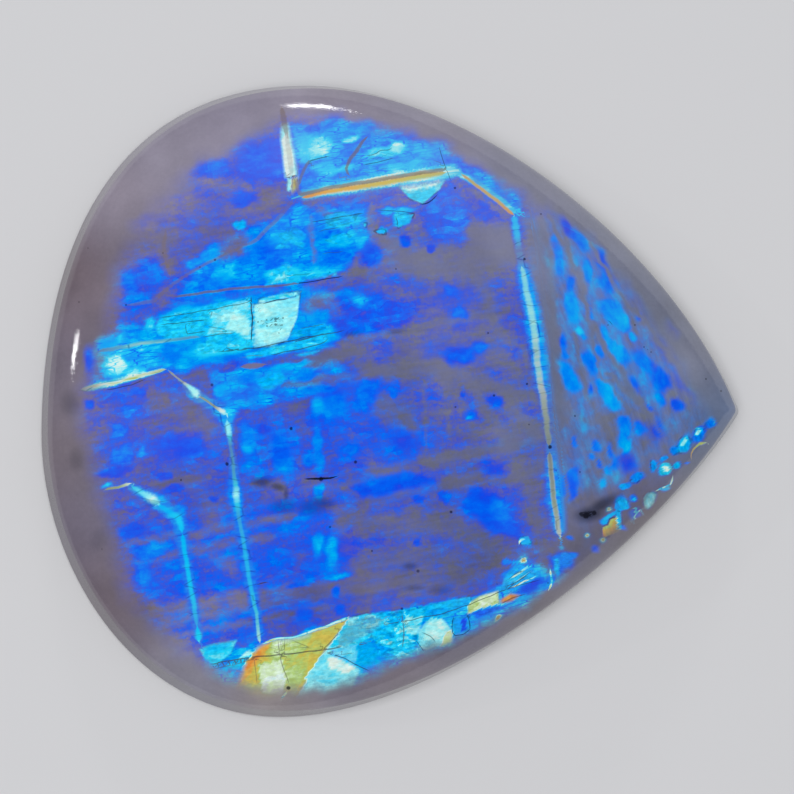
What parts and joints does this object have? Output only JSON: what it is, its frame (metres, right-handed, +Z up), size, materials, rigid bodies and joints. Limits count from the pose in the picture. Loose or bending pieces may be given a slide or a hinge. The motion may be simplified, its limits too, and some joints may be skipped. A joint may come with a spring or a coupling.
{
  "type": "moonstone cabochon",
  "caption": "Large pear-shaped moonstone cabochon with a low polished dome, blue sheen, a milky rim and a flat back to rest or bond on.",
  "frame": {"origin": "on the flat back, at the centre of the stone's bounding box seen from above", "axes": "+X along the stone's length towards its tip, +Z up through the dome, away from the back"},
  "size_m": [0.056, 0.0506, 0.009],
  "materials": {
    "moonstone": "polished"
  },
  "bodies": {
    "root": {"moonstone": "moonstone"}
  },
  "joints": []
}
